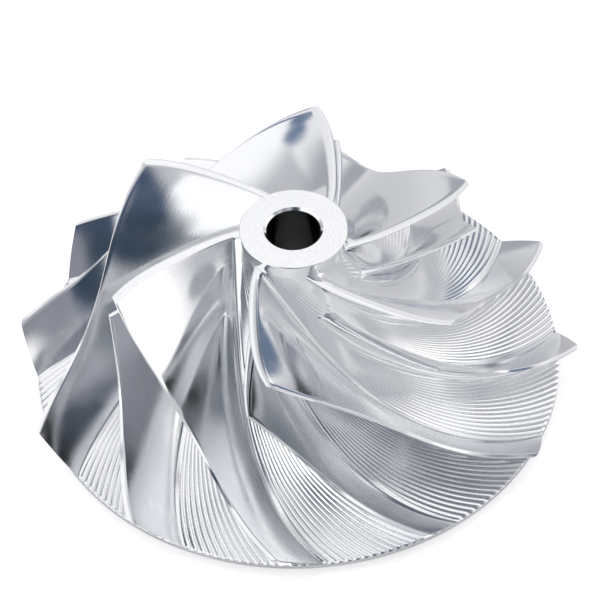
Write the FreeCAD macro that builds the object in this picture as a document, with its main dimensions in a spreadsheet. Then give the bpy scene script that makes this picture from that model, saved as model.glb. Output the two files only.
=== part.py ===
import FreeCAD, Part
import math
import os
import re
import Sketcher
from FreeCAD import Placement, Rotation, Vector

# Compressor wheel of a turbocharger, milled from one aluminium bar: six full blades, a shorter
# splitter blade behind each of them, a thin back disc and a through bore for the shaft.
# Millimetres. The axis is Z, the wheel stands on its rear seat at Z = 0, and the air enters
# from above. Seen from above it turns clockwise. The inlet tip of the first blade is on +X.

os.makedirs("parts", exist_ok=True)
doc = FreeCAD.newDocument("CompressorWheel")

# Sizes. Heights of the blades and the nose count from the front of the disc at its rim. A blade
# angle is the angle between the blade and the plane through the axis, in degrees.
SIZES = [
    ("disc_radius", 40.0, "outside radius of the back disc"),
    ("rim_thickness", 0.8, "thickness of the disc at its rim"),
    ("seat_radius", 9.0, "radius of the rear seat, which lies against the shaft's thrust collar"),
    ("seat_height", 1.2, "how far the seat stands out behind the disc"),
    ("nose_radius", 7.95, "radius of the nose, which the shaft nut bears on"),
    ("nose_height", 28.1, "height of the nose face"),
    ("bore_radius", 4.0, "radius of the shaft bore"),
    ("bore_chamfer", 0.35, "chamfer at both ends of the bore"),
    ("root_height", 26.05, "height at which a leading edge leaves the nose"),
    ("neck_length", 8.0, "how far the hub runs straight down from there before it curves out"),
    ("floor_length", 20.2, "how far in from the rim the floor keeps the level of the rim"),
    ("inlet_radius", 28.25, "radius of the blade tips at the inlet"),
    ("inlet_height", 25.8, "height of the blade tips at the inlet"),
    ("inlet_run", 19.2, "how far the tip line runs down before it curves out"),
    ("inlet_taper", 2.9, "degrees by which the tip line draws in below the inlet"),
    ("outlet_radius", 42.55, "radius of the blade tips at the outlet"),
    ("outlet_height", 4.7, "height of the blade tips at the outlet"),
    ("outlet_run", 4.7, "how far in from the outlet the tip line keeps its slope there"),
    ("outlet_slope", 20.0, "degrees by which the tip line falls to the outlet"),
    ("blade_count", 6, "number of full blades, and of splitter blades"),
    ("inlet_sweep", 34.5, "degrees by which a leading edge's root is behind its tip"),
    ("inlet_bow", 5.3, "degrees by which the middle of a leading edge bows to the tip's side"),
    ("root_angle_in", 41.1, "blade angle along the hub at the inlet"),
    ("root_angle_mid", 17.5, "the same, its middle value"),
    ("root_angle_out", 40.3, "the same, at the outlet"),
    ("tip_angle_in", 66.0, "blade angle along the tip line at the inlet"),
    ("tip_angle_mid", 32.3, "the same, its middle value"),
    ("tip_angle_out", 48.9, "the same, at the outlet"),
    ("root_thickness", 1.2, "thickness of a blade at the hub"),
    ("tip_thickness", 0.5, "thickness of a blade at its tip"),
    ("edge_depth", 0.9, "how far back along a blade the rounding of its leading edge reaches"),
    ("root_fillet", 1.0, "fillet between a blade and the hub, the radius of the ball cutter"),
    ("splitter_root", 0.163, "share of the hub's length at which a splitter starts"),
    ("splitter_tip", 0.244, "share of the tip line's length at which a splitter starts"),
]
NAMES = "|".join(name for name, _, _ in SIZES)

sheet = doc.addObject("Spreadsheet::Sheet", "Sizes")
for row, (name, value, meaning) in enumerate(SIZES, start=1):
    sheet.set(f"A{row}", name)
    sheet.set(f"B{row}", str(value))
    sheet.setAlias(f"B{row}", name)
    sheet.set(f"C{row}", meaning)
doc.recompute()


def size(expression):
    """The number that an expression of the sheet's names gives."""
    value = sheet.evalExpression(expression)
    return float(getattr(value, "Value", value))


# Meridional curves, each with four poles given as (radius, height) expressions. The hub curve is
# the floor between the blades, and the tip curve is what the housing runs close to.
RIM_FRONT = "seat_height + rim_thickness"
HUB_CURVE = [
    ("nose_radius", f"{RIM_FRONT} + root_height"),
    ("nose_radius", f"{RIM_FRONT} + root_height - neck_length"),
    ("disc_radius - floor_length", RIM_FRONT),
    ("disc_radius", RIM_FRONT),
]
TIP_CURVE = [
    ("inlet_radius", f"{RIM_FRONT} + inlet_height"),
    ("inlet_radius - inlet_run * sin(inlet_taper * 1deg)",
     f"{RIM_FRONT} + inlet_height - inlet_run * cos(inlet_taper * 1deg)"),
    ("outlet_radius - outlet_run * cos(outlet_slope * 1deg)",
     f"{RIM_FRONT} + outlet_height + outlet_run * sin(outlet_slope * 1deg)"),
    ("outlet_radius", f"{RIM_FRONT} + outlet_height"),
]


def turned(label, corners, curve_at):
    """A body turned about Z. Its outline has straight sides between the corners and one curve,
    whose four poles start at corner number curve_at. All of these are bound to the sheet."""
    body = doc.addObject("PartDesign::Body", label)
    sketch = body.newObject("Sketcher::SketchObject", f"{label}Outline")
    plane = next(item for item in body.Origin.OriginFeatures if item.Role == "XZ_Plane")
    sketch.AttachmentSupport = (plane, [""])
    sketch.MapMode = "FlatFace"
    points = [Vector(size(radius), size(height), 0) for radius, height in corners]

    def bind(geometry, vertex, number):
        for kind, expression in zip(("DistanceX", "DistanceY"), corners[number]):
            if expression == "0":
                sketch.addConstraint(Sketcher.Constraint("PointOnObject", geometry, vertex, -1))
                continue
            item = Sketcher.Constraint(kind, -1, 1, geometry, vertex, size(expression))
            index = sketch.addConstraint(item)
            named = re.sub(rf"\b({NAMES})\b", r"Sizes.\1", expression)
            sketch.setExpression(f"Constraints[{index}]", named)

    sides = []
    number = 0
    while number < len(points):
        if number == curve_at:
            curve = Part.BezierCurve()
            curve.setPoles(points[number:number + 4])
            side = sketch.addGeometry(curve.toBSpline(), False)
            sketch.exposeInternalGeometry(side)
            poles = [i for i, item in enumerate(sketch.Geometry) if isinstance(item, Part.Circle)]
            bind(poles[1], 3, number + 1)
            bind(poles[2], 3, number + 2)
            step = 3
        else:
            end = points[(number + 1) % len(points)]
            side = sketch.addGeometry(Part.LineSegment(points[number], end), False)
            step = 1
        bind(side, 1, number)
        sides.append(side)
        number += step
    for this, following in zip(sides, sides[1:] + sides[:1]):
        sketch.addConstraint(Sketcher.Constraint("Coincident", this, 2, following, 1))

    turn = body.newObject("PartDesign::Revolution", f"{label}Turn")
    turn.Profile = sketch
    turn.ReferenceAxis = (sketch, ["V_Axis"])
    turn.Angle = 360
    return body


# Hub: nose, floor, back disc and rear seat, with the bore and its chamfers.
NOSE_FACE = f"{RIM_FRONT} + nose_height"
hub = turned("Hub", [
    ("bore_radius + bore_chamfer", "0"),
    ("seat_radius", "0"),
    ("seat_radius + seat_height", "seat_height"),
    ("disc_radius", "seat_height"),
    HUB_CURVE[3],
    HUB_CURVE[2],
    HUB_CURVE[1],
    HUB_CURVE[0],
    ("nose_radius", NOSE_FACE),
    ("bore_radius + bore_chamfer", NOSE_FACE),
    ("bore_radius", f"{NOSE_FACE} - bore_chamfer"),
    ("bore_radius", "bore_chamfer"),
], curve_at=4)

# Envelope: what turning leaves for the blades, out to their tips and trailing edges. Inside it
# ends within the hub, where the feet of the blades are.
CORE = "(bore_radius + nose_radius) / 2"
FOOT_DEPTH = "rim_thickness / 2"
CLEAR_DEPTH = "rim_thickness * 0.75"
envelope = turned("Envelope", [
    (CORE, f"{RIM_FRONT} - {CLEAR_DEPTH}"),
    (f"disc_radius - {CLEAR_DEPTH}", f"{RIM_FRONT} - {CLEAR_DEPTH}"),
    HUB_CURVE[3],
    TIP_CURVE[3],
    TIP_CURVE[2],
    TIP_CURVE[1],
    TIP_CURVE[0],
    ("inlet_radius", f"{RIM_FRONT} + inlet_height + root_thickness"),
    (CORE, f"{RIM_FRONT} + root_height + root_thickness"),
], curve_at=3)

# Blades. Each is laid out on its middle surface: at every share of the flow path this runs
# from the hub curve to the tip curve, and along both of them the blade angle is given.
STATIONS = 61  # points along a meridional curve
LONG_STEPS = 18  # sections of a blade from end to end
SIDE_POINTS = 6  # points up the side of a section
ARC_STEPS = 5  # steps round its root fillet
NOSE_STEPS = 6  # steps round a leading edge
PAST_END = 1.06  # a blade is laid out past its trailing edge, to this share of its length
PAST_TIP = 1.1  # and past its tip, to this share of its height
FILLET_SHARE = 0.88  # share of the fillet's turn that is used, the rest being inside the hub
FILLET_SINK = 0.1  # how much lower than the hub the fillet would touch down, as a share of it
NUDGE = 0.002  # share of a blade's length and height over which its direction is measured
BOW_FADE = 4  # power of what is left of the blade's length with which the bow fades
BOW_SKEW = 0.8  # how much more the bow reaches near the root than near the tip
HALVINGS = 24  # times that the search for a fillet's place halves its range


def flow_line(poles, angles, start_turn):
    """Evenly spaced (radius, turn, height) along a meridional curve. The turn about the axis
    grows by tan(blade angle) / radius for each millimetre of the curve."""
    curve = Part.BezierCurve()
    curve.setPoles([Vector(size(radius), 0, size(height)) for radius, height in poles])
    points = curve.toShape().discretize(Number=STATIONS)
    step = curve.length() / (STATIONS - 1)
    first, middle, last = [math.radians(size(name)) for name in angles]
    rates = []
    for number, point in enumerate(points):
        share = number / (STATIONS - 1)
        angle = first * (1 - share) ** 2 + 2 * middle * share * (1 - share) + last * share ** 2
        rates.append(math.tan(angle) / point.x)
    turns = [start_turn]
    for before, after in zip(rates, rates[1:]):
        turns.append(turns[-1] + (before + after) / 2 * step)
    return [(point.x, turn, point.z) for point, turn in zip(points, turns)]


root_line = flow_line(HUB_CURVE, ("root_angle_in", "root_angle_mid", "root_angle_out"),
                      -math.radians(size("inlet_sweep")))
tip_line = flow_line(TIP_CURVE, ("tip_angle_in", "tip_angle_mid", "tip_angle_out"), 0.0)
hub_curve = Part.BezierCurve()
hub_curve.setPoles([Vector(size(radius), 0, size(height)) for radius, height in HUB_CURVE])


def along(line, share):
    """Point of a flow line at a share of its length, going straight on past its ends."""
    place = share * (STATIONS - 1)
    index = min(max(math.floor(place), 0), STATIONS - 2)
    return [a + (b - a) * (place - index) for a, b in zip(line[index], line[index + 1])]


def middle_surface(share, span):
    """Point of the middle surface: share runs from the leading to the trailing edge, and span
    from the hub (0) to the tip (1). The bow of the leading edge fades out downstream."""
    root = along(root_line, share)
    tip = along(tip_line, share)
    radius, turn, height = [a + (b - a) * span for a, b in zip(root, tip)]
    fade = max(1 - share, 0) ** BOW_FADE
    nearer_root = 1 + BOW_SKEW * (1 - 2 * span)
    turn += math.radians(size("inlet_bow")) * 4 * span * (1 - span) * nearer_root * fade
    return Vector(radius * math.cos(turn), radius * math.sin(turn), height)


def above_hub(point):
    """Height of a point above the hub's floor, and the direction straight away from it."""
    turn = math.atan2(point.y, point.x)
    flat = Vector(math.hypot(point.x, point.y), 0, point.z)
    place = hub_curve.parameter(flat)
    run = hub_curve.tangent(place)[0]
    away = Vector(-run.z, 0, run.x)
    height = (flat - hub_curve.value(place)).dot(away)
    return height, Vector(away.x * math.cos(turn), away.x * math.sin(turn), away.z)


def blade_side(start, step, side):
    """Points down one side of a blade's section, from above its tip to inside the hub. The side
    stands off the middle surface by half the thickness, and a ball that touches both it and the
    hub rounds the corner between them. The last point is the sole of the blade's foot. Start
    gives the shares of the hub curve and of the tip curve where the blade begins. Step goes from
    behind the rounding of the leading edge (0) to past the trailing edge (1)."""
    half_root = size("root_thickness") / 2
    half_tip = size("tip_thickness") / 2
    ball = size("root_fillet")

    def stand_off(span, extra):
        first = start[0] + (start[1] - start[0]) * span
        stride = middle_surface(first + NUDGE, span) - middle_surface(first - NUDGE, span)
        first += size("edge_depth") / stride.Length * 2 * NUDGE
        share = first + (PAST_END - first) * step
        forward = middle_surface(share + NUDGE, span) - middle_surface(share - NUDGE, span)
        outward = middle_surface(share, span + NUDGE) - middle_surface(share, span - NUDGE)
        normal = forward.cross(outward).normalize() * side
        half = half_root + (half_tip - half_root) * span
        return middle_surface(share, span) + normal * (half + extra), normal

    low, high = -0.5, 0.9
    for _ in range(HALVINGS):
        span = (low + high) / 2
        if above_hub(stand_off(span, ball)[0])[0] < ball * (1 - FILLET_SINK):
            low = span
        else:
            high = span
    points = []
    for i in range(SIDE_POINTS):
        rise = (1 - i / SIDE_POINTS) ** 2
        points.append(stand_off(span + (PAST_TIP - span) * rise, 0)[0])
    centre, normal = stand_off(span, ball)
    away = above_hub(centre)[1]
    corner = normal.getAngle(away)
    for i in range(ARC_STEPS + 1):
        turned_by = corner * FILLET_SHARE * i / ARC_STEPS
        spoke = normal * math.sin(corner - turned_by) + away * math.sin(turned_by)
        points.append(centre - spoke * (ball / math.sin(corner)))
    return points + [points[-1] - away * size(FOOT_DEPTH)]


def leading_edge(one, other, behind):
    """Columns of points round a leading edge: half an ellipse from one side of the blade to the
    other, which reaches forward by the depth of the rounding."""
    columns = [[] for _ in range(NOSE_STEPS + 1)]
    for left, right, back in zip(one, other, behind):
        centre = (left + right) / 2
        half = (left - right) / 2
        ahead = centre - back
        ahead = (ahead - half * (ahead.dot(half) / half.dot(half))).normalize() * size("edge_depth")
        for i, column in enumerate(columns):
            turned_by = math.pi * i / NOSE_STEPS
            column.append(centre + half * math.cos(turned_by) + ahead * math.sin(turned_by))
    return columns


def row_values(columns):
    """Mean distance of each row of points from the first one, measured down the columns."""
    values = [0.0]
    rows = list(zip(*columns))
    for above, below in zip(rows, rows[1:]):
        gaps = [one.distanceToPoint(other) for one, other in zip(above, below)]
        values.append(values[-1] + sum(gaps) / len(gaps))
    return values


def curve_through(points, steps):
    """Smooth curve through the points, reaching each of them at its step."""
    curve = Part.BSplineCurve()
    curve.interpolate(Points=points, Parameters=steps)
    return curve


def surface_through(columns, steps, rows):
    """Smooth surface through a grid of points: a curve down each column, which reaches its
    points at the values in rows, then curves across the columns through the poles of these."""
    downs = [curve_through(column, rows) for column in columns]
    acrosses = [curve_through(list(poles), steps) for poles in zip(*[down.getPoles() for down in downs])]
    surface = Part.BSplineSurface()
    surface.buildFromPolesMultsKnots(
        [list(poles) for poles in zip(*[across.getPoles() for across in acrosses])],
        acrosses[0].getMultiplicities(), downs[0].getMultiplicities(),
        acrosses[0].getKnots(), downs[0].getKnots(),
        False, False, acrosses[0].Degree, downs[0].Degree)
    return surface


def ruled(one, other):
    """Face of straight lines between two curves, which have the same knots."""
    surface = Part.BSplineSurface()
    surface.buildFromPolesMultsKnots(
        [one.getPoles(), other.getPoles()],
        (2, 2), one.getMultiplicities(),
        (0, 1), one.getKnots(),
        False, False, 1, one.Degree)
    return surface.toShape()


def straight(start, end):
    """Straight curve of one span between two points."""
    return Part.LineSegment(start, end).toBSpline()


def blade_solid(start):
    """One blade with its root fillets and rounded leading edge, longer and higher than the
    finished one, and with a foot that reaches down into the hub."""
    steps = [i / LONG_STEPS for i in range(LONG_STEPS + 1)]
    nose_steps = [i / NOSE_STEPS for i in range(NOSE_STEPS + 1)]
    sides = [[blade_side(start, step, side) for step in steps] for side in (1, -1)]
    soles = [curve_through([column[-1] for column in side], steps) for side in sides]
    sides = [[column[:-1] for column in side] for side in sides]
    rows = row_values(sides[0] + sides[1])
    behind = [(one + other) / 2 for one, other in zip(sides[0][1], sides[1][1])]
    nose = leading_edge(sides[0][0], sides[1][0], behind)

    left, right = [surface_through(side, steps, rows) for side in sides]
    front = surface_through(nose, nose_steps, rows)
    low = rows[-1]
    toe_start, toe_end = soles[0].value(0), soles[1].value(0)
    toe = curve_through([toe_start + (toe_end - toe_start) * step for step in nose_steps], nose_steps)
    shell = Part.Shell([
        left.toShape(),
        right.toShape(),
        front.toShape(),
        ruled(left.uIso(1), right.uIso(1)),
        ruled(left.vIso(0), right.vIso(0)),
        Part.Face(Part.Wire([front.vIso(0).toShape(),
                             Part.LineSegment(left.value(0, 0), right.value(0, 0)).toShape()])),
        ruled(left.vIso(low), soles[0]),
        ruled(right.vIso(low), soles[1]),
        ruled(front.vIso(low), toe),
        ruled(straight(left.value(1, low), soles[0].value(1)),
              straight(right.value(1, low), soles[1].value(1))),
        ruled(soles[0], soles[1]),
    ])
    shell.sewShape()
    solid = Part.Solid(shell)
    if solid.Volume < 0:
        solid.reverse()
    return solid


# The two kinds of blade, with where they start, and their copies round the axis. The splitters
# stand midway between the full blades.
count = round(size("blade_count"))
kinds = {
    "FullBlade": (0.0, 0.0),
    "SplitterBlade": (size("splitter_root"), size("splitter_tip")),
}
blades = []
for half_pitches, (label, start) in enumerate(kinds.items()):
    solid = doc.addObject("Part::Feature", f"{label}Solid")
    solid.Shape = blade_solid(start)
    blade = doc.addObject("Part::Common", label)
    blade.Base = envelope
    blade.Tool = solid
    doc.recompute()
    for place in range(count):
        copy = doc.addObject("Part::Feature", f"{label}{place + 1}")
        copy.Shape = blade.Shape
        turn = 360.0 / count * (place + half_pitches / 2)
        copy.Placement = Placement(Vector(), Rotation(Vector(0, 0, 1), turn))
        blades.append(copy)

wheel = doc.addObject("Part::MultiFuse", "Wheel")
wheel.Shapes = [hub] + blades
wheel.Label = "compressor_wheel"
doc.recompute()

for item in doc.Objects:
    if {"Invalid", "Error"} & set(item.State):
        raise RuntimeError(f"{item.Label} failed: {item.State}")
if wheel.Shape.isNull() or not wheel.Shape.isValid() or len(wheel.Shape.Solids) != 1:
    raise RuntimeError("the wheel is not one sound solid")
wheel.Shape.exportStep(f"parts/{wheel.Label}.step")
print(f"volume {wheel.Shape.Volume:.1f} mm3, {len(wheel.Shape.Faces)} faces")
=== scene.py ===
import math

import bpy
import numpy as np
from mathutils import Matrix, Vector


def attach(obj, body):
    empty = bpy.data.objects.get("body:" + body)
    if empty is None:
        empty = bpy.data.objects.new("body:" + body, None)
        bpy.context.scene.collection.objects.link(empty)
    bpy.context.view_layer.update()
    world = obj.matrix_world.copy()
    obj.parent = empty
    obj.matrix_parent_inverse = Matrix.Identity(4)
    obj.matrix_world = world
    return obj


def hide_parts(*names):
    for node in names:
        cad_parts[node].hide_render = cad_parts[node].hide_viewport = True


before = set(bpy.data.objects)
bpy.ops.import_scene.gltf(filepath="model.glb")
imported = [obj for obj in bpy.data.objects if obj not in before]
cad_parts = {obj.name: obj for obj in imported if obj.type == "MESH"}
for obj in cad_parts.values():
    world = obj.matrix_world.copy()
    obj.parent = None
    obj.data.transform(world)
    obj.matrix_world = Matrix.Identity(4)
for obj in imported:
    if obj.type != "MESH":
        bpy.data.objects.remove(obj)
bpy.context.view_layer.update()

# ---------------------------------------------------------------- passage floors
# The floor of the air passages between the blades. It is part of the solid aluminium wheel and
# is cut by a ball cutter that follows the flow, pass beside pass, which leaves a round trough
# for each pass and a fine ridge between them.

# The number of blades of each kind. The hub's curve, as radius and height of its four poles,
# its blade angles at the inlet, midway and at the outlet, and the turn at which it starts.
# Lengths here are in millimetres and angles in degrees.
BLADES = 6
HUB_CURVE = [(7.95, 28.05), (7.95, 20.05), (19.8, 2.0), (40.0, 2.0)]
ROOT_ANGLES = (41.1, 17.5, 40.3)
INLET_SWEEP = -34.5
LINE_POINTS = 2001
FLOOR_ROWS = 90

# The rim's sizes, and how far each of its rows lies past the end of the floor.
DISC_RADIUS = 40.0
UNDERSIDE = 1.2
RIM_CHAMFER = 0.05
RIM_ROWS = (0.1, 0.8, 0.9)

# The cutter's passes: a band of three beside each blade and fifteen between the bands, with the
# points across each. The near band is beside the blade that the half passage starts from. The
# far band, beside the next blade, grows from the rim inwards. Neither takes more than its share
# of the half passage. The fifteen are at their shallowest near the inlet, and the bands ease out
# before the rim, each between two shares of the floor's length.
BALL_RADIUS = 1.5
PASSES, PASS_POINTS = 15, 8
BAND_PASSES, BAND_POINTS = 3, 6
BAND_SHARE = 0.35
NEAR_BAND = 1.8
FAR_BAND_AT_RIM, FAR_BAND_WIDEST, FAR_BAND_GROWTH = 0.9, 2.6, 0.12
SHALLOWEST = 0.3
FIELD_DEEPENS, BANDS_GROW = (0.30, 0.55), (0.85, 0.45)

# The radius at which the material's pattern is true to size across the floor.
PATTERN_RADIUS = 20


def flow_line(poles, angles, start_turn):
    """Radius, turn and height along a cubic curve, evenly spaced by its length. The turn about
    the axis grows by tan(blade angle) / radius for each millimetre, and the blade angle mixes its
    three values by (1 - share) squared, 2 share (1 - share) and share squared."""
    t = np.linspace(0, 1, 2 * LINE_POINTS - 1)[:, None]
    p = np.array(poles)
    curve = (1 - t) ** 3 * p[0] + 3 * t * (1 - t) ** 2 * p[1]
    curve = curve + 3 * t * t * (1 - t) * p[2] + t ** 3 * p[3]
    run = np.concatenate([[0], np.cumsum(np.hypot(*np.diff(curve, axis=0).T))])
    share = np.linspace(0, 1, LINE_POINTS)
    radius = np.interp(share * run[-1], run, curve[:, 0])
    height = np.interp(share * run[-1], run, curve[:, 1])
    first, middle, last = np.radians(angles)
    angle = first * (1 - share) ** 2 + 2 * middle * share * (1 - share) + last * share ** 2
    rate = np.tan(angle) / radius
    steps = (rate[1:] + rate[:-1]) / 2 * run[-1] / (LINE_POINTS - 1)
    turn = math.radians(start_turn) + np.concatenate([[0], np.cumsum(steps)])
    return np.stack([radius, turn, height], -1), run[-1]


def along(line, share):
    """Points of a flow line at shares of its length, going straight on past its ends."""
    place = np.asarray(share) * (len(line) - 1)
    index = np.clip(np.floor(place).astype(int), 0, len(line) - 2)
    rest = (place - index)[..., None]
    return line[index] * (1 - rest) + line[index + 1] * rest


def turned_to(radius, turn, height):
    """Cylinder coordinates to x, y and z."""
    radius, turn, height = np.broadcast_arrays(radius, turn, height)
    return np.stack([radius * np.cos(turn), radius * np.sin(turn), height], -1)


def spun(points, degrees):
    """Points turned about the wheel's axis."""
    c, s = math.cos(math.radians(degrees)), math.sin(math.radians(degrees))
    return points @ np.array([[c, s, 0], [-s, c, 0], [0, 0, 1]])


def eased(value, start, end):
    """0 up to the start and 1 from the end on, by 3 t t - 2 t t t for the share t between."""
    t = np.clip((value - start) / (end - start), 0, 1)
    return t * t * (3 - 2 * t)


def trough(place):
    """Depth across passes, one for each unit: nothing at its ends and 1 in its middle."""
    return 1 - (2 * (place - np.floor(place)) - 1) ** 2


def numbered(grid):
    """The number of each point of a grid, counted along its rows."""
    return np.arange(grid.shape[0] * grid.shape[1]).reshape(grid.shape[:2])


def squares(number):
    """Faces of a grid of point numbers: one square between each four neighbours."""
    corners = [number[:-1, :-1], number[1:, :-1], number[1:, 1:], number[:-1, 1:]]
    return np.stack(corners, -1).reshape(-1, 4)


def skin(name, points, faces, uv, sharp=None):
    """Mesh object of points in millimetres and of faces with four point numbers each. UV gives
    each point's place on the skin, in centimetres. Sharp is a test of two arrays of point
    numbers, true where the edge between them stays sharp."""
    mesh = bpy.data.meshes.new(name)
    mesh.from_pydata(points.reshape(-1, 3) / 1000, [], faces.tolist())
    mesh.update(calc_edges=True)
    layer = mesh.uv_layers.new(name="UVMap")
    corner = np.empty(len(mesh.loops), np.int32)
    mesh.loops.foreach_get("vertex_index", corner)
    layer.data.foreach_set("uv", uv.reshape(-1, 2)[corner].astype(np.float32).ravel())
    mesh.polygons.foreach_set("use_smooth", np.ones(len(mesh.polygons), bool))
    if sharp is not None:
        ends = np.empty(len(mesh.edges) * 2, np.int32)
        mesh.edges.foreach_get("vertices", ends)
        mark = mesh.attributes.new("sharp_edge", "BOOLEAN", "EDGE")
        mark.data.foreach_set("value", sharp(*ends.reshape(-1, 2).T))
    piece = bpy.data.objects.new(name, mesh)
    bpy.context.scene.collection.objects.link(piece)
    return piece


root_line, root_length = flow_line(HUB_CURVE, ROOT_ANGLES, INLET_SWEEP)

share = np.linspace(0, 1, FLOOR_ROWS)
spine = along(root_line, share)
radius, turn, height = spine.T
slope = np.gradient(spine, axis=0)
away = np.stack([-slope[:, 2], slope[:, 0]], -1)
away /= np.linalg.norm(away, axis=1)[:, None]

# Across half a passage, from the middle of one blade to the middle of the next: the near band,
# the field of passes between the bands, and the far band, as turns about the axis.
half_pitch = math.radians(180 / BLADES)
widest = half_pitch * BAND_SHARE
near_band = np.minimum(NEAR_BAND / radius, widest)
far_band = FAR_BAND_AT_RIM + FAR_BAND_GROWTH * (DISC_RADIUS - radius)
far_band = np.minimum(np.clip(far_band, FAR_BAND_AT_RIM, FAR_BAND_WIDEST) / radius, widest)
field = half_pitch - near_band - far_band
band = np.linspace(0, 1, BAND_PASSES * BAND_POINTS + 1)
passes = np.linspace(0, PASSES, PASSES * PASS_POINTS + 1)
across = np.concatenate([
    near_band[:, None] * band[:-1],
    near_band[:, None] + field[:, None] * passes / PASSES,
    (half_pitch - far_band)[:, None] + far_band[:, None] * band[1:-1],
], axis=1)

# A ball leaves a trough as deep as its pitch squared over 8 radii. The field's troughs are
# shallower near the inlet, and the bands' ease out towards the rim.
field_drop = (field * radius / PASSES) ** 2 / (8 * BALL_RADIUS)
field_drop = field_drop * (SHALLOWEST + (1 - SHALLOWEST) * eased(share, *FIELD_DEEPENS))
band_ease = eased(share, *BANDS_GROW) / (8 * BALL_RADIUS)
near_drop = (near_band * radius / BAND_PASSES) ** 2 * band_ease
far_drop = (far_band * radius / BAND_PASSES) ** 2 * band_ease
drop = np.concatenate([
    near_drop[:, None] * trough(BAND_PASSES * band[:-1]),
    field_drop[:, None] * trough(passes),
    far_drop[:, None] * trough(BAND_PASSES * band[1:-1]),
], axis=1)

# The whole passage is two halves and the last point. Its grid goes on over the rim.
last_point = np.full((FLOOR_ROWS, 1), 2 * half_pitch)
across = np.concatenate([across, across + half_pitch, last_point], axis=1)
drop = np.concatenate([drop, drop, np.zeros((FLOOR_ROWS, 1))], axis=1)
floor_grid = turned_to(
    radius[:, None] - away[:, :1] * drop,
    turn[:, None] + across,
    height[:, None] - away[:, 1:] * drop,
)
rim_turn, rim_top = turn[-1] + across[-1], height[-1] - drop[-1]
floor_grid[-1] = turned_to(DISC_RADIUS - RIM_CHAMFER, rim_turn, rim_top)
floor_grid = np.concatenate([floor_grid, np.stack([
    turned_to(DISC_RADIUS, rim_turn, rim_top - RIM_CHAMFER),
    turned_to(DISC_RADIUS, rim_turn, UNDERSIDE + RIM_CHAMFER),
    turned_to(DISC_RADIUS - RIM_CHAMFER, rim_turn, UNDERSIDE),
])])
lengthwise = np.concatenate([share * root_length, root_length + np.array(RIM_ROWS)])
sideways = np.concatenate([across, np.repeat(across[-1:], len(RIM_ROWS), axis=0)])
sideways = sideways * PATTERN_RADIUS
floor_uv = np.stack(np.broadcast_arrays(lengthwise[:, None] / 10, sideways / 10), -1)

floor_columns = across.shape[1]
field_start = BAND_PASSES * BAND_POINTS
ridges = np.concatenate([
    np.arange(BAND_PASSES) * BAND_POINTS,
    field_start + np.arange(PASSES + 1) * PASS_POINTS,
    field_start + PASSES * PASS_POINTS + np.arange(1, BAND_PASSES) * BAND_POINTS,
])
is_ridge = np.zeros(floor_columns, bool)
is_ridge[np.concatenate([ridges, ridges + floor_columns // 2])] = True


def ridge_edge(one, other):
    """True for an edge that runs along a ridge, or along the rim's lower edge."""
    along_ridge = (one % floor_columns == other % floor_columns) & is_ridge[one % floor_columns]
    row = one // floor_columns
    return along_ridge | ((row == other // floor_columns) & (row == FLOOR_ROWS + 1))


def add_node(tree, kind, inputs, **settings):
    """A new node of a shader tree. Its inputs are given by name or number, each with the socket
    that is linked to it or the value that it takes, and the settings are the node's own."""
    node = tree.nodes.new("ShaderNode" + kind)
    for key, value in settings.items():
        setattr(node, key, value)
    for key, value in inputs.items():
        if isinstance(value, bpy.types.NodeSocket):
            tree.links.new(value, node.inputs[key])
        else:
            node.inputs[key].default_value = value
    return node


# The factor and the colour sockets of a Mix node, by number because its sockets' names repeat.
MIX_FACTOR, MIX_FROM, MIX_TO, MIX_RESULT = 0, 6, 7, 2

# Milled aluminium: fine lines along the cutter's way, a short grain that is darker in its dips,
# sharp edges and ridges paler, for wear and as a painted highlight, and a gloss that varies from
# place to place. The pattern's coordinates are in centimetres along and across the flow.
milled = bpy.data.materials.new("milled_aluminium")
milled.use_nodes = True
tree = milled.node_tree
metal = tree.nodes["Principled BSDF"]
metal.inputs["Metallic"].default_value = 1.0
place = add_node(tree, "TexCoord", {})
cutter_lines = add_node(tree, "Mapping", {
    "Vector": place.outputs["UV"], "Scale": (1.5, 60, 1)}, name="cutter_lines")
lines = add_node(tree, "TexNoise", {
    "Vector": cutter_lines.outputs["Vector"], "Scale": 1.0, "Detail": 4.0})
line_bump = add_node(tree, "Bump", {
    "Height": lines.outputs["Fac"], "Strength": 0.03, "Distance": 0.0001})
grain_shape = add_node(tree, "Mapping", {
    "Vector": place.outputs["UV"], "Scale": (48, 130, 1)}, name="grain_shape")
grain = add_node(tree, "TexNoise", {
    "Vector": grain_shape.outputs["Vector"], "Scale": 1.0, "Detail": 2.0})
grain_bump = add_node(tree, "Bump", {
    "Height": grain.outputs["Fac"], "Normal": line_bump.outputs["Normal"],
    "Strength": 0.09, "Distance": 0.00003}, name="grain_height")
tree.links.new(grain_bump.outputs["Normal"], metal.inputs["Normal"])
grain_tint = add_node(tree, "ValToRGB", {"Fac": grain.outputs["Fac"]}, name="grain_tint")
dark, pale = grain_tint.color_ramp.elements
dark.position, dark.color = 0.36, (0.80, 0.81, 0.83, 1)
pale.position, pale.color = 0.6, (0.96, 0.965, 0.97, 1)
# Sharp edges and ridges get a paler base colour, for wear and as a painted highlight along them.
form = add_node(tree, "NewGeometry", {})
edge_wear_and_highlight = add_node(tree, "MapRange", {
    "Value": form.outputs["Pointiness"], "From Min": 0.53, "From Max": 0.6})
wear_and_painted_highlight = add_node(tree, "Mix", {
    MIX_FACTOR: edge_wear_and_highlight.outputs["Result"], MIX_FROM: grain_tint.outputs["Color"],
    MIX_TO: (0.98, 0.98, 0.98, 1)}, data_type="RGBA")
tree.links.new(wear_and_painted_highlight.outputs[MIX_RESULT], metal.inputs["Base Color"])
wear = add_node(tree, "TexNoise", {
    "Vector": place.outputs["Object"], "Scale": 260, "Detail": 3.0})
dulled = add_node(tree, "MapRange", {
    "Value": wear.outputs["Fac"], "From Min": 0.35, "From Max": 0.65,
    "To Min": 0.07, "To Max": 0.14})
tree.links.new(dulled.outputs["Result"], metal.inputs["Roughness"])

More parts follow.
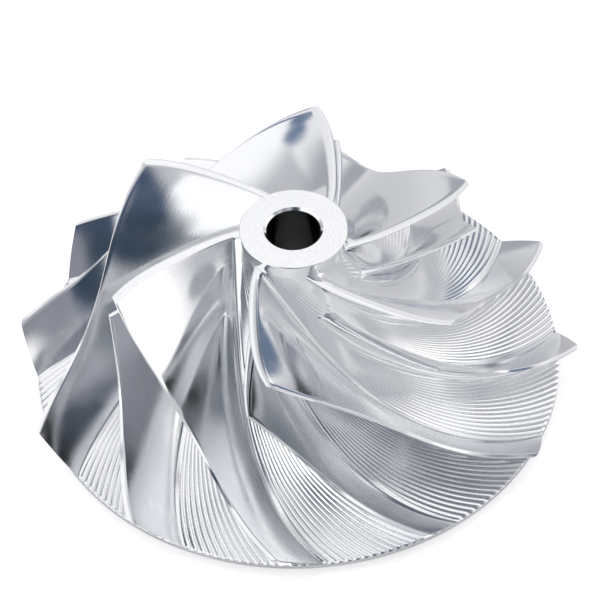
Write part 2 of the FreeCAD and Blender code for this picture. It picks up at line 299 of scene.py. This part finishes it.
for number in range(BLADES):
    grid = spun(floor_grid, 360 / BLADES * number)
    piece = skin(f"passage_floor_{number + 1}", grid, squares(numbered(grid)), floor_uv, ridge_edge)
    piece.data.materials.append(milled)
    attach(piece, "root")
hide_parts("compressor_wheel")

# ---------------------------------------------------------------- hub
# The turned middle of the wheel: the nose with its flat face for the shaft nut, the through
# bore, and at the back the disc's flat underside and the raised seat. It is faced and bored on
# a lathe from the same bar before the passages are cut.

# Radius and height from where the floors start: up the nose and over its face, down the bore,
# out over the seat and under the disc. The corners are the points where it stays sharp.
HUB_OUTLINE = [
    (7.95, 28.05), (7.95, 28.4), (7.95, 28.8), (7.95, 29.2), (7.95, 29.6), (7.95, 30.0),
    (7.92, 30.07), (7.85, 30.1), (7.5, 30.1), (6.2, 30.1), (5.0, 30.1), (4.4, 30.1),
    (4.35, 30.09), (4.0, 29.75), (4.0, 29.7), (4.0, 22.0), (4.0, 15.0), (4.0, 8.0),
    (4.0, 0.4), (4.0, 0.35), (4.35, 0.01), (4.4, 0.0), (6.0, 0.0), (8.9, 0.0), (9.0, 0.02),
    (10.2, 1.2), (10.3, 1.2), (16.0, 1.2), (24.0, 1.2), (32.0, 1.2), (39.5, 1.2), (39.95, 1.2),
]
HUB_CORNERS = (5, 7, 11, 12, 13, 19, 20, 21, 23, 24, 25, 26)
HUB_COLUMNS = 192

outline = np.array(HUB_OUTLINE)
around = np.linspace(0, 2 * np.pi, HUB_COLUMNS + 1)[:-1]
hub_grid = turned_to(outline[:, :1], around, outline[:, 1:])
number = numbered(hub_grid)
hub_faces = squares(np.concatenate([number, number[:, :1]], axis=1))[:, ::-1]
reach = np.concatenate([[0], np.cumsum(np.hypot(*np.diff(outline, axis=0).T))])
hub_uv = np.stack(np.broadcast_arrays(around * 2, reach[:, None] / 10), -1)


def hub_edge(one, other):
    """True for an edge that runs round the hub at one of its corners."""
    row = one // HUB_COLUMNS
    return (row == other // HUB_COLUMNS) & np.isin(row, HUB_CORNERS)


hub = skin("hub", hub_grid, hub_faces, hub_uv, hub_edge)
turned = milled.copy()
turned.name = "turned_aluminium"
turned.node_tree.nodes["cutter_lines"].inputs["Scale"].default_value = (0.3, 90, 1)
turned.node_tree.nodes["grain_shape"].inputs["Scale"].default_value = (3, 110, 1)
turned.node_tree.nodes["grain_height"].inputs["Strength"].default_value = 0.08
turned.node_tree.nodes["grain_tint"].color_ramp.elements[0].color = (0.86, 0.87, 0.88, 1)
hub.data.materials.append(turned)
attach(hub, "root")
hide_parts("compressor_wheel")

# ---------------------------------------------------------------- full blades
# Six blades from the nose to the rim, milled from the same bar with the side of a tapered
# cutter. Each has a thin tip, a broad leading edge that is faced on the lathe and then rounded,
# and a round fillet at its foot, and its outlet end stands a little beyond the disc.

# The tip's curve and blade angles, as the hub's above, and how far the leading edge bows out
# between its ends, more towards the hub.
TIP_CURVE = [(28.25, 27.8), (27.279, 8.625), (38.133, 8.307), (42.55, 6.7)]
TIP_ANGLES = (66.0, 32.3, 48.9)
INLET_BOW, BOW_LEAN = 5.3, 0.8

# The blade's section: thickness at the hub and at the tip, the rounding of the tip, the fillet,
# how deep its ball dips into the floor and the share of its arc that is kept, how far the sole
# lies below that, and the leading edge's rise and the power that makes it broad (2 is round).
ROOT_THICKNESS, TIP_THICKNESS = 1.2, 0.5
TIP_ROUND = 0.1
ROOT_FILLET, FILLET_DIP, FILLET_SHARE = 1.0, 0.1, 0.9
SOLE_DEPTH = 0.3
EDGE_RISE, EDGE_POWER = 0.4, 2.4

# The sides are laid out past both ends of the blade, to be cut off at the cones, and are then
# divided anew: mostly evenly, the rest crowded towards the leading edge. The rows down a side
# crowd towards the fillet.
LAYOUT_STEPS = np.linspace(-0.07, 1, 401)
LAYOUT_END = 1.06
SMALL_STEP = 0.004
BLADE_STEPS, EVENNESS, EDGE_CROWDING = 90, 0.65, 0.8
SIDE_ROWS, SIDE_CROWDING = 34, 1.4
LIP_BENDS = (1, 0.67, 0.33)
ARC_ROWS = 10
NOSE_COLUMNS = 16

# The column of a blade's grid that is measured for the pattern's coordinate up its side.
PATTERN_COLUMN = 40

tip_line = flow_line(TIP_CURVE, TIP_ANGLES, 0.0)[0]


def middle_surface(share, span):
    """Points of a blade's middle surface. Radius, turn and height run straight from the hub
    (span 0) to the tip (span 1), and the bow of the leading edge fades with the fourth power of
    what is left of the share."""
    share, span = np.broadcast_arrays(share, span)
    root, tip = along(root_line, share), along(tip_line, share)
    radius, turn, height = np.moveaxis(root + (tip - root) * span[..., None], -1, 0)
    fade = np.clip(1 - share, 0, None) ** 4
    bow = 4 * span * (1 - span) * (1 + BOW_LEAN * (1 - 2 * span)) * fade
    return turned_to(radius, turn + math.radians(INLET_BOW) * bow, height)


def stand_off(start, step, span, side, extra=0.0):
    """Points beside the middle surface, half the blade's thickness and the extra away from it
    on one side, and the direction that they stand off in, square to the surface's two slopes,
    which are taken over small steps. Step 0 is where the blade starts."""
    first = start[0] + (start[1] - start[0]) * span
    share = first + (LAYOUT_END - first) * step
    forward = middle_surface(share + SMALL_STEP, span) - middle_surface(share - SMALL_STEP, span)
    outward = middle_surface(share, span + SMALL_STEP) - middle_surface(share, span - SMALL_STEP)
    normal = np.cross(forward, outward) * side
    normal /= np.linalg.norm(normal, axis=-1)[..., None]
    half = ROOT_THICKNESS / 2 + (TIP_THICKNESS - ROOT_THICKNESS) / 2 * span
    return middle_surface(share, span) + normal * (half + extra)[..., None], normal


def height_over(line, points):
    """Distance of points from the surface that a flow line sweeps round the axis, and the
    direction straight away from it: the nearest of every fourth point of the line is found, and
    the offset from it is measured square to the line."""
    flat = np.stack([np.hypot(points[..., 0], points[..., 1]), points[..., 2]], -1)
    curve = line[::4][:, [0, 2]]
    gap = ((flat[..., None, :] - curve) ** 2).sum(-1)
    near = gap.argmin(-1)
    run = np.gradient(curve, axis=0)
    run /= np.linalg.norm(run, axis=1)[:, None]
    square = np.stack([-run[:, 1], run[:, 0]], -1)[near]
    height = ((flat - curve[near]) * square).sum(-1)
    turn = np.arctan2(points[..., 1], points[..., 0])
    return height, turned_to(square[..., 0], turn, square[..., 1])


def solve(low, high, too_low):
    """Spans between low and high, one for each layout step, at which the test changes. They are
    found by halving."""
    low, high = np.full(len(LAYOUT_STEPS), low), np.full(len(LAYOUT_STEPS), high)
    for _ in range(26):
        middle = (low + high) / 2
        below = too_low(middle)
        low = np.where(below, middle, low)
        high = np.where(below, high, middle)
    return (low + high) / 2


def blade_side(start, side):
    """Grid of points down one side of a blade, from its tip to inside the hub. Above the fillet
    the side stands off the middle surface. A ball that touches both the side and the hub makes
    the fillet, and its arc is laid out between the two directions of touch."""
    def off(span, extra=0.0):
        """Points of this side, and the direction that they stand off in."""
        return stand_off(start, LAYOUT_STEPS, span, side, extra)

    def under_tip(span):
        """True where the side is still below the rounding of the tip."""
        return height_over(tip_line, off(span)[0])[0] < -TIP_ROUND

    def in_hub(span):
        """True where the fillet's ball would dip further into the hub than it does."""
        return height_over(root_line, off(span, ROOT_FILLET)[0])[0] < ROOT_FILLET - FILLET_DIP

    # Each is looked for between two spans, well to either side of it.
    top, low = solve(0.8, 1.2, under_tip), solve(-0.5, 0.9, in_hub)
    rise = (1 - np.arange(SIDE_ROWS) / SIDE_ROWS) ** SIDE_CROWDING
    flank = off(low + (top - low) * rise[:, None])[0]
    over, inward = height_over(tip_line, flank[0])[1], off(top)[1]
    bend = np.pi / 2 * np.array(LIP_BENDS)[:, None, None]
    lip = flank[0] + TIP_ROUND * (over * np.sin(bend) - inward * (1 - np.cos(bend)))
    centre, normal = off(low, ROOT_FILLET)
    away = height_over(root_line, centre)[1]
    corner = np.arccos(np.clip((normal * away).sum(-1), -1, 1))
    turned_by = corner * FILLET_SHARE * np.linspace(0, 1, ARC_ROWS + 1)[:, None]
    spoke = normal * np.sin(corner - turned_by)[..., None] + away * np.sin(turned_by)[..., None]
    arc = centre - spoke * (ROOT_FILLET / np.sin(corner))[:, None]
    sole = arc[-1:] - away * SOLE_DEPTH
    return np.concatenate([lip, flank, arc, sole])


def below_cone(points, foot, head):
    """How far points lie below the cone round the axis through two points of flow lines."""
    radius = np.hypot(points[..., 0], points[..., 1])
    cone = foot[2] + (head[2] - foot[2]) / (head[0] - foot[0]) * (radius - foot[0])
    return cone - points[..., 2]


def crossing(level):
    """Place along each row, in points, where its level first rises through nothing."""
    rows = np.arange(len(level))
    last = np.argmax(level >= 0, axis=1) - 1
    return last + level[rows, last] / (level[rows, last] - level[rows, last + 1])


def trimmed(side, start):
    """The side's rows cut off at the inlet cone, which goes through the two ends of the leading
    edge, and at the outlet cone, which goes through the ends of the two flow lines. Their points
    are laid out anew, closest together behind the leading edge."""
    foot, head = along(root_line, start[0]), along(tip_line, start[1])
    begin = crossing(below_cone(side, foot, head) - EDGE_RISE)[:, None]
    end = crossing(below_cone(side, root_line[-1], tip_line[-1]))[:, None]
    even = np.linspace(0, 1, BLADE_STEPS)
    crowded = 1 - np.cos(even ** EDGE_CROWDING * np.pi / 2)
    spread = EVENNESS * even + (1 - EVENNESS) * crowded
    place = begin + spread * (end - begin)
    index = place.astype(int)
    rest = (place - index)[..., None]
    row = np.arange(len(side))[:, None]
    return side[row, index] * (1 - rest) + side[row, index + 1] * rest


def blade_grid(start):
    """One grid round a whole blade: from the outlet forward along one side, round the leading
    edge, and back along the other side. Round the edge |sideways| ** power + |onward| ** power is
    1, with both counted in shares of their reach, and onward goes the way of the blade's sides."""
    left, right = [trimmed(blade_side(start, side), start) for side in (1, -1)]
    centre, half = (left[:, 0] + right[:, 0]) / 2, (left[:, 0] - right[:, 0]) / 2
    ahead = centre - (left[:, 2] + right[:, 2]) / 2
    ahead *= EDGE_RISE / ahead[:, 2:]
    bend = np.pi * np.linspace(0, 1, NOSE_COLUMNS + 1)[1:-1, None, None]
    sideways, onward = np.cos(bend), np.sin(bend)
    stretch = (np.abs(sideways) ** EDGE_POWER + onward ** EDGE_POWER) ** (-1 / EDGE_POWER)
    nose = centre + half * sideways * stretch + ahead * onward * stretch
    return np.concatenate([left[:, ::-1], np.moveaxis(nose, 0, 1), right], axis=1)


def lengths(points):
    """Distance along a row of points from its first, in centimetres."""
    steps = np.linalg.norm(np.diff(points, axis=0), axis=-1)
    return np.concatenate([[0], np.cumsum(steps)]) / 10


def blades(name, start, first_turn):
    """Six copies of a blade round the axis as one mesh, each closed at its tip, its sole and its
    outlet end. The start is the shares of the two flow lines at which the leading edge stands."""
    grid = blade_grid(start)
    number = numbered(grid)
    rows, columns = number.shape
    front, back = number[:, :columns // 2], number[:, ::-1][:, :columns // 2]
    # The two sides and the nose, and then the tip, the sole and the outlet end between them.
    faces = np.concatenate([
        squares(number),
        np.stack([front[0, :-1], front[0, 1:], back[0, 1:], back[0, :-1]], -1),
        np.stack([front[-1, 1:], front[-1, :-1], back[-1, :-1], back[-1, 1:]], -1),
        np.stack([front[1:, 0], front[:-1, 0], back[:-1, 0], back[1:, 0]], -1),
    ])
    long, tall = lengths(grid[rows // 2]), lengths(grid[:, PATTERN_COLUMN])
    uv = np.stack(np.broadcast_arrays(long, tall[:, None]), -1)

    def blade_edge(one, other):
        """True for an edge along a blade's tip or its outlet end."""
        ends = np.stack([one, other]) % number.size
        row, column = ends // columns, ends % columns
        return (row == 0).all(0) | (column == 0).all(0) | (column == columns - 1).all(0)

    turns = first_turn + 360 / BLADES * np.arange(BLADES)
    points = np.stack([spun(grid.reshape(-1, 3), turn) for turn in turns])
    all_faces = np.concatenate([faces + place * number.size for place in range(BLADES)])
    piece = skin(name, points, all_faces, np.stack([uv] * BLADES), blade_edge)
    piece.data.materials.append(side_milled)
    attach(piece, "root")
    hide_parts("compressor_wheel")


side_milled = milled.copy()
side_milled.name = "side_milled_aluminium"
side_milled.node_tree.nodes["grain_height"].inputs["Strength"].default_value = 0.07
side_milled.node_tree.nodes["grain_tint"].color_ramp.elements[0].color = (0.85, 0.86, 0.88, 1)

blades("full_blades", (0.0, 0.0), 0)

# ---------------------------------------------------------------- splitter blades
# Six shorter blades midway between the full ones. They start further down the passage, where
# it has grown wide enough, and end at the outlet beside the others.

SPLITTER_START = (0.163, 0.244)

blades("splitter_blades", SPLITTER_START, 180 / BLADES)

# ---------------------------------------------------------------- studio
# A matt white table in a room with pale walls, with plain soft lights at the sides and overhead
# and a few dim gaps between them, which is all that the polished metal mirrors.

TABLE_REACH = 3000

corners = np.array([(-1, -1, 0), (1, -1, 0), (-1, 1, 0), (1, 1, 0)]).reshape(2, 2, 3) * TABLE_REACH
table = skin("table", corners, squares(numbered(corners))[:, ::-1], np.zeros((2, 2, 2)))
white = bpy.data.materials.new("white_table")
white.use_nodes = True
tree = white.node_tree
matt = tree.nodes["Principled BSDF"]
matt.inputs["Base Color"].default_value = (0.78, 0.78, 0.78, 1)
matt.inputs["Roughness"].default_value = 0.7
where = add_node(tree, "TexCoord", {})
from_axis = add_node(tree, "VectorMath", {0: where.outputs["Object"]}, operation="LENGTH")
ray = add_node(tree, "LightPath", {})
shader = matt.outputs["BSDF"]

# What each kind of ray sees more of the table, as a glow: nothing within the first distance from
# the axis (in metres), where the wheel's shadow is, and the full strength past the second. The slow
# rise between them leaves the table darker round the wheel, a painted shade, which for glossy rays
# reaches far past the wheel's own shadow.
for kinds, none_to, full_from, strength in (
    (("Is Camera Ray",), 0.025, 0.037, 0.62),
    (("Is Glossy Ray", "Is Transmission Ray"), 0.03, 0.2, 0.12),
):
    # The smooth rise of this glow paints shade on the table round the wheel.
    level = add_node(tree, "MapRange", {
        "Value": from_axis.outputs["Value"], "From Min": none_to, "From Max": full_from,
        "To Max": strength}, interpolation_type="SMOOTHSTEP")
    for kind in kinds:
        only = add_node(tree, "Math", {
            0: ray.outputs[kind], 1: level.outputs["Result"]}, operation="MULTIPLY")
        glow = add_node(tree, "Emission", {"Strength": only.outputs["Value"]})
        both = add_node(tree, "AddShader", {0: shader, 1: glow.outputs["Emission"]})
        shader = both.outputs["Shader"]
tree.links.new(shader, tree.nodes["Material Output"].inputs["Surface"])
table.data.materials.append(white)

# The room. VIEW_TURN is the viewpoint's place round the axis, in degrees. Each zone has a name,
# its direction (degrees round from straight behind the wheel, degrees up), how far from there it
# has its full colour, where it has faded, and that colour. A later zone lies over earlier ones.
VIEW_TURN = -21.2
WALLS = (0.53, 0.537, 0.57, 1)
ZONES = [
    ("left_light", -120, 30, 31, 33, (1.12, 1.13, 1.15)),
    ("left_low_light", -107, 16, 20, 22, (1.75, 1.71, 1.66)),
    ("left_far_light", -86, 40, 20, 31, (1.05, 1.05, 1.07)),
    ("right_light", 56, 46, 29, 45, (1.22, 1.21, 1.20)),
    ("back_light", -19, 20, 34, 38, (0.86, 0.86, 0.88)),
    ("back_low", -28, -1, 21, 35, (0.39, 0.40, 0.44)),
    ("front_low", 183, 23, 2, 27, (0.19, 0.21, 0.24)),
    ("top_light", 22, 68, 23, 31, (1.03, 1.03, 1.04)),
    ("right_back", 31, 43, 3, 22, (0.63, 0.64, 0.68)),
    ("right_low", 113, 16, 8, 22, (0.88, 0.88, 0.89)),
    ("front_right", 149, 38, 3, 14, (0.27, 0.28, 0.31)),
    ("blue_left", -58, 36, 3, 5, (0.14, 0.20, 0.31)),
    ("blue_left_lower", -57, 29, 3, 5, (0.12, 0.18, 0.30)),
    ("blue_right", 42, 21, 9, 12, (0.14, 0.19, 0.29)),
    ("dark_right", 32, 35, 4, 8, (0.16, 0.18, 0.22)),
    ("far_right", 114, 33, 6, 9, (0.35, 0.37, 0.41)),
    ("upper_opening", -172, 64, 14, 21, (0.06, 0.09, 0.15)),
    ("right_opening", 150, 69, 16, 19, (0.26, 0.27, 0.31)),
    ("opening", -166, 50, 6, 16, (0.04, 0.06, 0.09)),
]
world = bpy.data.worlds.new("studio")
bpy.context.scene.world = world
world.use_nodes = True
tree = world.node_tree
way = add_node(tree, "TexCoord", {})
colour = WALLS
for name, round_from, up_from, full, faded, zone_colour in ZONES:
    bearing, rise = math.radians(round_from - VIEW_TURN), math.radians(up_from)
    flat = math.cos(rise)
    middle = (math.sin(bearing) * flat, math.cos(bearing) * flat, math.sin(rise))
    nearness = add_node(tree, "VectorMath", {
        0: way.outputs["Generated"], 1: middle}, operation="DOT_PRODUCT")
    amount = add_node(tree, "MapRange", {
        "Value": nearness.outputs["Value"], "From Min": math.cos(math.radians(faded)),
        "From Max": math.cos(math.radians(full))}, interpolation_type="SMOOTHSTEP")
    mix = add_node(tree, "Mix", {
        MIX_FACTOR: amount.outputs["Result"], MIX_FROM: colour, MIX_TO: (*zone_colour, 1)},
        name=name, data_type="RGBA")
    colour = mix.outputs[MIX_RESULT]
tree.links.new(colour, tree.nodes["Background"].inputs["Color"])
bpy.context.scene.view_settings.view_transform = "Standard"

# ---------------------------------------------------------------- camera
# The viewpoint of the photograph: a long lens 385 mm from the middle of the wheel, which looks
# down on a point inside the hub at 48 degrees and is rolled by 2.

elevation, roll, distance = 0.8376, -0.0361, 0.38466
about = Matrix.Rotation(math.radians(VIEW_TURN), 3, "Z")
target = about @ Vector((0.000584, 0, 0.014472))
back = about @ Vector((0, -math.cos(elevation), math.sin(elevation)))
right = about @ Vector((1, 0, 0))
up = about @ Vector((0, math.sin(elevation), math.cos(elevation)))
rolled_right = right * math.cos(roll) + up * math.sin(roll)
rolled_up = up * math.cos(roll) - right * math.sin(roll)
lens = bpy.data.cameras.new("camera")
lens.sensor_width = 36
lens.lens = 153.588
lens.clip_start = 0.01
lens.clip_end = 20
camera = bpy.data.objects.new("camera", lens)
bpy.context.scene.collection.objects.link(camera)
pose = Matrix((rolled_right, rolled_up, back)).transposed().to_4x4()
pose.translation = target + back * distance
camera.matrix_world = pose
bpy.context.scene.camera = camera
